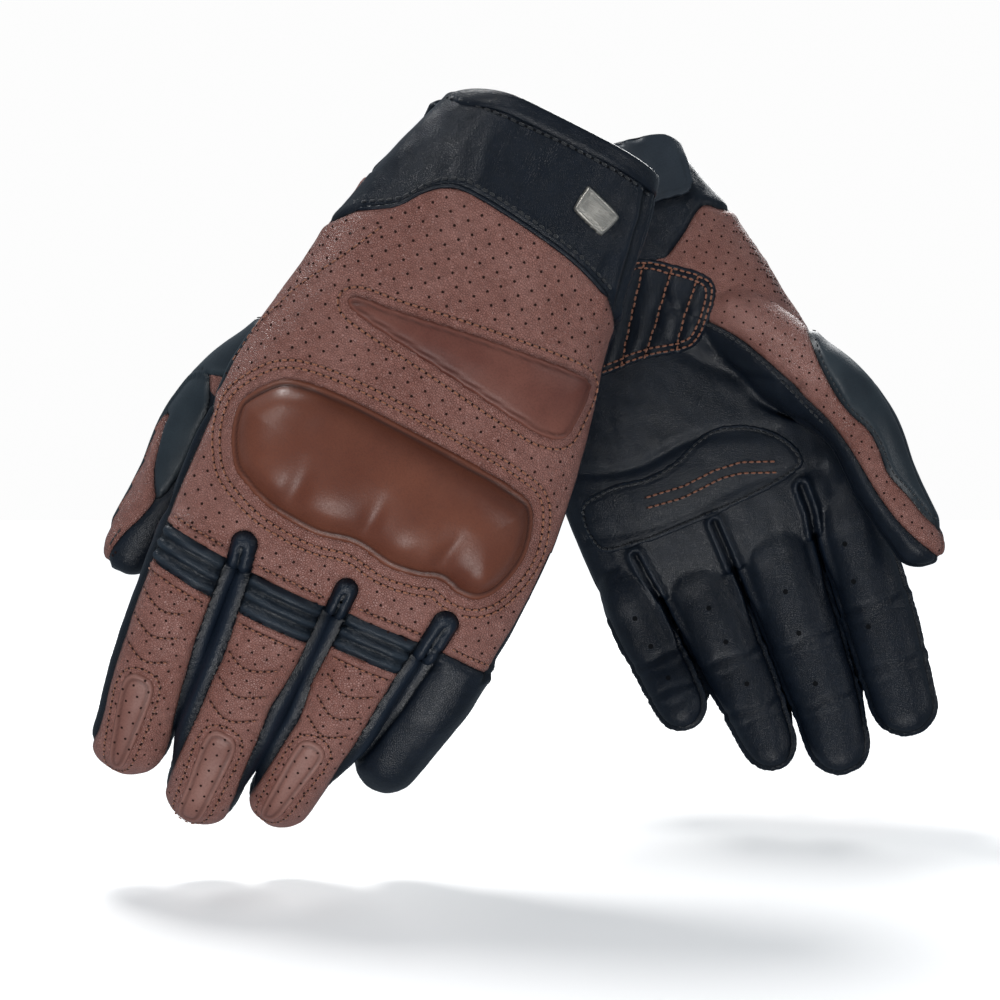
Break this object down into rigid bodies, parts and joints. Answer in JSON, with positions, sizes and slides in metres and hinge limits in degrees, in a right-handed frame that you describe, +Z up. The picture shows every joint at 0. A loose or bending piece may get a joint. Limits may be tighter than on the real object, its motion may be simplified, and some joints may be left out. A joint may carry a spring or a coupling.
{
  "type": "riding gloves",
  "caption": "Pair of short-cuff leather riding gloves with moulded knuckle guards, jointed finger stalls and an opening wrist strap.",
  "frame": {"origin": "centre of the front glove's cuff mouth, where the wrist goes in", "axes": "+Z up with the gloves hung fingers down, +X to the right seen from the front glove's back, +Y from the front glove to the rear one"},
  "size_m": [0.2893, 0.1801, 0.2482],
  "materials": {
    "brown_leather": "perforated matt brown leather",
    "black_leather": "grained black leather",
    "pad_leather": "smooth brown leather over foam",
    "strap_leather": "smooth dark grey leather",
    "guard_shell": "leather skin moulded over a hard shell",
    "impact_foam": "closed-cell foam",
    "lining_knit": "fine knit",
    "stretch_rib": "ribbed black stretch leather",
    "hook_and_loop": "hook-and-loop tape",
    "badge_metal": "satin grey plate"
  },
  "bodies": {
    "front_hand": {"front_back_panel": "brown_leather", "front_palm_panel": "black_leather", "front_cuff": "black_leather", "front_lining": "lining_knit", "front_cuff_binding": "black_leather", "front_finger_webs": "black_leather", "front_knuckle_guard": "guard_shell", "front_guard_foam": "impact_foam", "front_back_pad": "pad_leather", "front_cuff_badge": "badge_metal", "front_palm_patch": "black_leather", "front_heel_pad": "black_leather", "front_stretch_panels": "stretch_rib", "front_thumb_gusset": "brown_leather", "front_loop_tape": "hook_and_loop"},
    "front_strap": {"front_wrist_strap": "strap_leather", "front_hook_tape": "hook_and_loop"},
    "front_index_base": {"front_index_base": "brown_leather"},
    "front_index_tip": {"front_index_tip": "brown_leather", "front_index_pad": "pad_leather"},
    "front_middle_base": {"front_middle_base": "brown_leather"},
    "front_middle_tip": {"front_middle_tip": "brown_leather", "front_middle_pad": "pad_leather"},
    "front_ring_base": {"front_ring_base": "brown_leather"},
    "front_ring_tip": {"front_ring_tip": "brown_leather", "front_ring_pad": "pad_leather"},
    "front_little_base": {"front_little_base": "black_leather"},
    "front_little_tip": {"front_little_tip": "black_leather"},
    "front_thumb_base": {"front_thumb_base": "brown_leather"},
    "front_thumb_tip": {"front_thumb_tip": "brown_leather"},
    "rear_hand": {"rear_back_panel": "brown_leather", "rear_palm_panel": "black_leather", "rear_cuff": "black_leather", "rear_lining": "lining_knit", "rear_cuff_binding": "black_leather", "rear_finger_webs": "black_leather", "rear_knuckle_guard": "guard_shell", "rear_guard_foam": "impact_foam", "rear_back_pad": "pad_leather", "rear_cuff_badge": "badge_metal", "rear_palm_patch": "black_leather", "rear_heel_pad": "black_leather", "rear_stretch_panels": "stretch_rib", "rear_thumb_gusset": "brown_leather", "rear_loop_tape": "hook_and_loop"},
    "rear_strap": {"rear_wrist_strap": "strap_leather", "rear_hook_tape": "hook_and_loop"},
    "rear_index_base": {"rear_index_base": "brown_leather"},
    "rear_index_tip": {"rear_index_tip": "brown_leather", "rear_index_pad": "pad_leather"},
    "rear_middle_base": {"rear_middle_base": "brown_leather"},
    "rear_middle_tip": {"rear_middle_tip": "brown_leather", "rear_middle_pad": "pad_leather"},
    "rear_ring_base": {"rear_ring_base": "brown_leather"},
    "rear_ring_tip": {"rear_ring_tip": "brown_leather", "rear_ring_pad": "pad_leather"},
    "rear_little_base": {"rear_little_base": "black_leather"},
    "rear_little_tip": {"rear_little_tip": "black_leather"},
    "rear_thumb_base": {"rear_thumb_base": "brown_leather"},
    "rear_thumb_tip": {"rear_thumb_tip": "brown_leather"}
  },
  "joints": [
    {"name": "front_index_knuckle", "type": "hinge", "parent": "front_hand", "child": "front_index_base", "pos_m": [-0.11298, -0.005, -0.13211], "axis": [0.8556, 0.1217, -0.5032], "range_deg": [0, 60], "stiffness_Nm_per_rad": 0.12},
    {"name": "front_index_middle_joint", "type": "hinge", "parent": "front_index_base", "child": "front_index_tip", "pos_m": [-0.12258, -0.0006, -0.15752], "axis": [0.8976, 0.1218, -0.4237], "range_deg": [0, 65], "stiffness_Nm_per_rad": 0.08},
    {"name": "front_middle_knuckle", "type": "hinge", "parent": "front_hand", "child": "front_middle_base", "pos_m": [-0.08668, -0.00134, -0.14607], "axis": [0.8844, 0.1219, -0.4506], "range_deg": [0, 60], "stiffness_Nm_per_rad": 0.12},
    {"name": "front_middle_middle_joint", "type": "hinge", "parent": "front_middle_base", "child": "front_middle_tip", "pos_m": [-0.09824, 0.00244, -0.17329], "axis": [0.8844, 0.1219, -0.4506], "range_deg": [0, 65], "stiffness_Nm_per_rad": 0.08},
    {"name": "front_ring_knuckle", "type": "hinge", "parent": "front_hand", "child": "front_ring_base", "pos_m": [-0.05837, 0.0025, -0.15937], "axis": [0.8844, 0.1219, -0.4506], "range_deg": [0, 60], "stiffness_Nm_per_rad": 0.12},
    {"name": "front_ring_middle_joint", "type": "hinge", "parent": "front_ring_base", "child": "front_ring_tip", "pos_m": [-0.07128, 0.00641, -0.18254], "axis": [0.8844, 0.1219, -0.4506], "range_deg": [0, 65], "stiffness_Nm_per_rad": 0.08},
    {"name": "front_little_knuckle", "type": "hinge", "parent": "front_hand", "child": "front_little_base", "pos_m": [-0.03452, 0.00774, -0.1704], "axis": [0.8844, 0.1219, -0.4506], "range_deg": [0, 60], "stiffness_Nm_per_rad": 0.12},
    {"name": "front_little_middle_joint", "type": "hinge", "parent": "front_little_base", "child": "front_little_tip", "pos_m": [-0.04385, 0.01057, -0.18529], "axis": [0.8844, 0.1219, -0.4506], "range_deg": [0, 60], "stiffness_Nm_per_rad": 0.08},
    {"name": "front_thumb_knuckle", "type": "hinge", "parent": "front_hand", "child": "front_thumb_base", "pos_m": [-0.11389, 0.01731, -0.09124], "axis": [0.8693, 0.1812, -0.4599], "range_deg": [0, 30], "stiffness_Nm_per_rad": 0.12},
    {"name": "front_thumb_middle_joint", "type": "hinge", "parent": "front_thumb_base", "child": "front_thumb_tip", "pos_m": [-0.12505, 0.01973, -0.11137], "axis": [0.8638, 0.1218, -0.4889], "range_deg": [0, 40], "stiffness_Nm_per_rad": 0.08},
    {"name": "front_strap_opening", "type": "hinge", "parent": "front_hand", "child": "front_strap", "pos_m": [-0.0369, 0.01862, 0.00197], "axis": [0.5873, 0.0191, 0.8091], "range_deg": [0, 100], "stiffness_Nm_per_rad": 0.01},
    {"name": "rear_glove_apart", "type": "slide", "parent": "front_hand", "child": "rear_hand", "axis": [0, 1, 0], "range_m": [0, 0.3]},
    {"name": "rear_index_knuckle", "type": "hinge", "parent": "rear_hand", "child": "rear_index_base", "pos_m": [0.11557, 0.10648, -0.12639], "axis": [-0.8715, 0.2075, -0.4443], "range_deg": [0, 60], "stiffness_Nm_per_rad": 0.12},
    {"name": "rear_index_middle_joint", "type": "hinge", "parent": "rear_index_base", "child": "rear_index_tip", "pos_m": [0.12243, 0.10329, -0.15285], "axis": [-0.9086, 0.2078, -0.3624], "range_deg": [0, 65], "stiffness_Nm_per_rad": 0.08},
    {"name": "rear_middle_knuckle", "type": "hinge", "parent": "rear_hand", "child": "rear_middle_base", "pos_m": [0.08886, 0.11271, -0.13855], "axis": [-0.897, 0.2079, -0.39], "range_deg": [0, 60], "stiffness_Nm_per_rad": 0.12},
    {"name": "rear_middle_middle_joint", "type": "hinge", "parent": "rear_middle_base", "child": "rear_middle_tip", "pos_m": [0.09771, 0.10981, -0.16687], "axis": [-0.897, 0.2079, -0.39], "range_deg": [0, 65], "stiffness_Nm_per_rad": 0.08},
    {"name": "rear_ring_knuckle", "type": "hinge", "parent": "rear_hand", "child": "rear_ring_base", "pos_m": [0.0602, 0.11926, -0.14992], "axis": [-0.897, 0.2079, -0.39], "range_deg": [0, 60], "stiffness_Nm_per_rad": 0.12},
    {"name": "rear_ring_middle_joint", "type": "hinge", "parent": "rear_ring_base", "child": "rear_ring_tip", "pos_m": [0.07045, 0.11525, -0.17436], "axis": [-0.897, 0.2079, -0.39], "range_deg": [0, 65], "stiffness_Nm_per_rad": 0.08},
    {"name": "rear_little_knuckle", "type": "hinge", "parent": "rear_hand", "child": "rear_little_base", "pos_m": [0.03547, 0.12286, -0.15958], "axis": [-0.897, 0.2079, -0.39], "range_deg": [0, 60], "stiffness_Nm_per_rad": 0.12},
    {"name": "rear_little_middle_joint", "type": "hinge", "parent": "rear_little_base", "child": "rear_little_tip", "pos_m": [0.04295, 0.11967, -0.17541], "axis": [-0.897, 0.2079, -0.39], "range_deg": [0, 60], "stiffness_Nm_per_rad": 0.08},
    {"name": "rear_thumb_knuckle", "type": "hinge", "parent": "rear_hand", "child": "rear_thumb_base", "pos_m": [0.11134, 0.07908, -0.08897], "axis": [-0.9007, 0.1488, -0.4082], "range_deg": [0, 30], "stiffness_Nm_per_rad": 0.12},
    {"name": "rear_thumb_middle_joint", "type": "hinge", "parent": "rear_thumb_base", "child": "rear_thumb_tip", "pos_m": [0.12048, 0.07653, -0.11008], "axis": [-0.8789, 0.2077, -0.4295], "range_deg": [0, 40], "stiffness_Nm_per_rad": 0.08},
    {"name": "rear_strap_opening", "type": "hinge", "parent": "rear_hand", "child": "rear_strap", "pos_m": [0.0411, 0.0864, 0.00916], "axis": [-0.5347, 0.0327, 0.8444], "range_deg": [0, 100], "stiffness_Nm_per_rad": 0.01}
  ]
}
